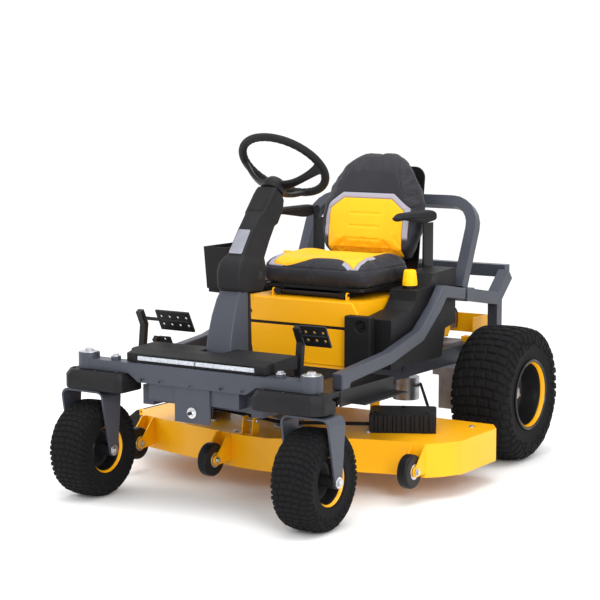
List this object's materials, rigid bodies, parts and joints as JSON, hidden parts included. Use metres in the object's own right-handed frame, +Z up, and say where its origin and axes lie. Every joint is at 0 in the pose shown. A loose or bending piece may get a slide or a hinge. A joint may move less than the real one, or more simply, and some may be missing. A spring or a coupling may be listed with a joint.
{
  "type": "zero turn mower",
  "caption": "Ride-on zero turn mower with a steering wheel, sprung seat, side-discharge cutting deck and rear engine; wheels, deck, seat and controls move.",
  "frame": {"origin": "on the ground, below the middle of the rear axle", "axes": "+Z up, -Y towards the front of the machine, +X towards the operator's left"},
  "size_m": [1.5698, 2.0159, 1.4014],
  "materials": {
    "frame_paint": "satin metallic powder coat",
    "yellow_paint": "gloss powder coat",
    "black_plastic": "fine moulded grain",
    "black_steel": "satin powder coat",
    "vinyl": "embossed seat vinyl with coloured panels",
    "tyre_rubber": "moulded turf tread",
    "rim_paint": "satin black with a coloured lip",
    "zinc": "bright zinc plate",
    "bare_steel": "ground steel",
    "engine_alloy": "cast alloy",
    "exhaust_steel": "heat-stained steel",
    "lens": "clear ribbed lens",
    "belt_rubber": "fabric-faced rubber",
    "cap_plastic": "ribbed moulding"
  },
  "bodies": {
    "chassis": {"main_frame": "frame_paint", "front_beam": "frame_paint", "gear_housings": "black_plastic", "nose_cover": "black_plastic", "headlight_bar": "lens", "footplate": "black_steel", "column_post": "frame_paint", "front_panel": "yellow_paint", "seat_pedestal": "yellow_paint", "fuel_tank": "black_plastic", "left_console": "black_plastic", "right_console": "black_plastic", "side_tubes": "frame_paint", "seat_hoop": "frame_paint", "rear_bumper": "frame_paint", "engine_block": "engine_alloy", "engine_shroud": "black_plastic", "muffler": "exhaust_steel", "transaxles": "engine_alloy", "rear_guard": "yellow_paint", "frame_bolts": "zinc"},
    "rear_wheel_left": {"rear_tyre_left": "tyre_rubber", "rear_rim_left": "rim_paint"},
    "rear_wheel_right": {"rear_tyre_right": "tyre_rubber", "rear_rim_right": "rim_paint"},
    "caster_left": {"caster_fork_left": "frame_paint"},
    "caster_right": {"caster_fork_right": "frame_paint"},
    "front_wheel_left": {"front_tyre_left": "tyre_rubber", "front_rim_left": "rim_paint"},
    "front_wheel_right": {"front_tyre_right": "tyre_rubber", "front_rim_right": "rim_paint"},
    "drive_gear_left": {"drive_gear_left": "bare_steel"},
    "drive_gear_right": {"drive_gear_right": "bare_steel"},
    "tie_rod": {"tie_rod": "zinc"},
    "column": {"column_cover": "black_plastic"},
    "steering_wheel": {"steering_wheel": "black_plastic"},
    "seat_base": {"seat_base": "black_steel"},
    "seat": {"seat_pan": "black_plastic", "seat_cushion": "vinyl", "seat_back": "vinyl"},
    "armrest_left": {"armrest_left": "black_plastic"},
    "armrest_right": {"armrest_right": "black_plastic"},
    "forward_pedal": {"forward_pedal": "black_steel"},
    "reverse_pedal": {"reverse_pedal": "black_steel"},
    "brake_pedal": {"brake_pedal": "black_steel"},
    "deck": {"deck_shell": "yellow_paint", "belt_covers": "black_plastic", "spindle_housings": "engine_alloy", "deck_belt": "belt_rubber"},
    "blade_left": {"blade_left": "bare_steel"},
    "blade_centre": {"blade_centre": "bare_steel"},
    "blade_right": {"blade_right": "bare_steel"},
    "engine_pulley": {"engine_pulley": "bare_steel"},
    "discharge_chute": {"discharge_chute": "black_plastic"},
    "roller_left": {"roller_left": "black_plastic"},
    "roller_centre": {"roller_centre": "black_plastic"},
    "roller_right": {"roller_right": "black_plastic"},
    "deck_lift_lever": {"deck_lift_lever": "frame_paint"},
    "fuel_cap": {"fuel_cap": "cap_plastic"},
    "pto_knob": {"pto_knob": "cap_plastic"}
  },
  "joints": [
    {"name": "rear_axle_left", "type": "hinge", "parent": "chassis", "child": "rear_wheel_left", "pos_m": [0.532, 0, 0.285], "axis": [1, 0, 0], "continuous": true},
    {"name": "caster_swivel_left", "type": "hinge", "parent": "chassis", "child": "caster_left", "pos_m": [0.509, -1.491, 0.5], "axis": [0, 0, 1], "range_deg": [-48, 48]},
    {"name": "front_axle_left", "type": "hinge", "parent": "caster_left", "child": "front_wheel_left", "pos_m": [0.509, -1.473, 0.187], "axis": [1, 0, 0], "continuous": true},
    {"name": "drive_gear_turn_left", "type": "hinge", "parent": "chassis", "child": "drive_gear_left", "pos_m": [0.377, -1.491, 0.5], "axis": [0, 0, 1], "range_deg": [-60, 60]},
    {"name": "rear_axle_right", "type": "hinge", "parent": "chassis", "child": "rear_wheel_right", "pos_m": [-0.532, 0, 0.285], "axis": [1, 0, 0], "continuous": true},
    {"name": "caster_swivel_right", "type": "hinge", "parent": "chassis", "child": "caster_right", "pos_m": [-0.509, -1.491, 0.5], "axis": [0, 0, 1], "range_deg": [-48, 48]},
    {"name": "front_axle_right", "type": "hinge", "parent": "caster_right", "child": "front_wheel_right", "pos_m": [-0.509, -1.473, 0.187], "axis": [1, 0, 0], "continuous": true},
    {"name": "drive_gear_turn_right", "type": "hinge", "parent": "chassis", "child": "drive_gear_right", "pos_m": [-0.377, -1.491, 0.5], "axis": [0, 0, 1], "range_deg": [-60, 60]},
    {"name": "tie_rod_link", "type": "hinge", "parent": "drive_gear_left", "child": "tie_rod", "pos_m": [0.377, -1.421, 0.482], "axis": [0, 0, 1], "range_deg": [-60, 60]},
    {"name": "column_tilt", "type": "hinge", "parent": "chassis", "child": "column", "pos_m": [0, -1.15, 0.86], "axis": [1, 0, 0], "range_deg": [-12, 6]},
    {"name": "steering_turn", "type": "hinge", "parent": "column", "child": "steering_wheel", "pos_m": [0, -0.899, 1.272], "axis": [0, 0.6521, 0.7581], "range_deg": [-145, 145]},
    {"name": "seat_tilt", "type": "hinge", "parent": "chassis", "child": "seat_base", "pos_m": [0, -0.706, 0.748], "axis": [1, 0, 0], "range_deg": [0, 32]},
    {"name": "seat_slide", "type": "slide", "parent": "seat_base", "child": "seat", "axis": [0, -1, 0], "range_m": [-0.04, 0.06]},
    {"name": "armrest_fold_left", "type": "hinge", "parent": "seat", "child": "armrest_left", "pos_m": [0.3, -0.236, 1.04], "axis": [-1, 0, 0], "range_deg": [0, 95]},
    {"name": "armrest_fold_right", "type": "hinge", "parent": "seat", "child": "armrest_right", "pos_m": [-0.3, -0.236, 1.04], "axis": [-1, 0, 0], "range_deg": [0, 95]},
    {"name": "forward_pedal_press", "type": "hinge", "parent": "chassis", "child": "forward_pedal", "pos_m": [-0.433, -1.262, 0.5], "axis": [1, 0, 0], "range_deg": [0, 14], "stiffness_Nm_per_rad": 14, "springref_deg": -11.46},
    {"name": "reverse_pedal_press", "type": "hinge", "parent": "chassis", "child": "reverse_pedal", "pos_m": [-0.358, -1.262, 0.5], "axis": [1, 0, 0], "range_deg": [0, 14], "stiffness_Nm_per_rad": 8, "springref_deg": -11.46},
    {"name": "brake_pedal_press", "type": "hinge", "parent": "chassis", "child": "brake_pedal", "pos_m": [0.303, -1.262, 0.5], "axis": [1, 0, 0], "range_deg": [0, 16], "stiffness_Nm_per_rad": 14, "springref_deg": -11.46},
    {"name": "deck_lift", "type": "slide", "parent": "chassis", "child": "deck", "axis": [0, 0, 1], "range_m": [-0.05, 0.025]},
    {"name": "lift_lever_turn", "type": "hinge", "parent": "chassis", "child": "deck_lift_lever", "pos_m": [0, -0.42, 0.415], "axis": [-1, 0, 0], "range_deg": [-25, 13]},
    {"name": "engine_pulley_spin", "type": "hinge", "parent": "chassis", "child": "engine_pulley", "pos_m": [0, 0.09, 0.25], "axis": [0, 0, 1], "continuous": true},
    {"name": "blade_spin_left", "type": "hinge", "parent": "deck", "child": "blade_left", "pos_m": [0.451, -0.625, 0.09], "axis": [0, 0, 1], "continuous": true},
    {"name": "roller_spin_left", "type": "hinge", "parent": "deck", "child": "roller_left", "pos_m": [0.599, -0.941, 0.126], "axis": [1, 0, 0], "continuous": true},
    {"name": "blade_spin_centre", "type": "hinge", "parent": "deck", "child": "blade_centre", "pos_m": [0, -0.865, 0.09], "axis": [0, 0, 1], "continuous": true},
    {"name": "roller_spin_centre", "type": "hinge", "parent": "deck", "child": "roller_centre", "pos_m": [-0.15, -1.193, 0.13], "axis": [1, 0, 0], "continuous": true},
    {"name": "blade_spin_right", "type": "hinge", "parent": "deck", "child": "blade_right", "pos_m": [-0.451, -0.74, 0.09], "axis": [0, 0, 1], "continuous": true},
    {"name": "roller_spin_right", "type": "hinge", "parent": "deck", "child": "roller_right", "pos_m": [-0.601, -1.092, 0.126], "axis": [1, 0, 0], "continuous": true},
    {"name": "chute_lift", "type": "hinge", "parent": "deck", "child": "discharge_chute", "pos_m": [-0.731, -0.74, 0.21], "axis": [0, 1, 0], "range_deg": [0, 70], "stiffness_Nm_per_rad": 1, "springref_deg": -28.65},
    {"name": "fuel_cap_turn", "type": "hinge", "parent": "chassis", "child": "fuel_cap", "pos_m": [0.341, -0.49, 0.8], "axis": [0, 0, 1], "range_deg": [0, 180]},
    {"name": "pto_knob_pull", "type": "slide", "parent": "chassis", "child": "pto_knob", "axis": [0, 0, 1], "range_m": [0, 0.02]}
  ],
  "couplings": [
    {"joint": "caster_swivel_right", "follows": "caster_swivel_left", "ratio": 1},
    {"joint": "drive_gear_turn_left", "follows": "caster_swivel_left", "ratio": -0.83333},
    {"joint": "drive_gear_turn_right", "follows": "caster_swivel_left", "ratio": -0.83333},
    {"joint": "tie_rod_link", "follows": "caster_swivel_left", "ratio": 0.83333},
    {"joint": "steering_turn", "follows": "caster_swivel_left", "ratio": 2.5},
    {"joint": "lift_lever_turn", "follows": "deck_lift", "rad_per_m": 8.3333},
    {"joint": "blade_spin_left", "follows": "engine_pulley_spin", "ratio": 1},
    {"joint": "blade_spin_centre", "follows": "engine_pulley_spin", "ratio": 1},
    {"joint": "blade_spin_right", "follows": "engine_pulley_spin", "ratio": 1}
  ]
}
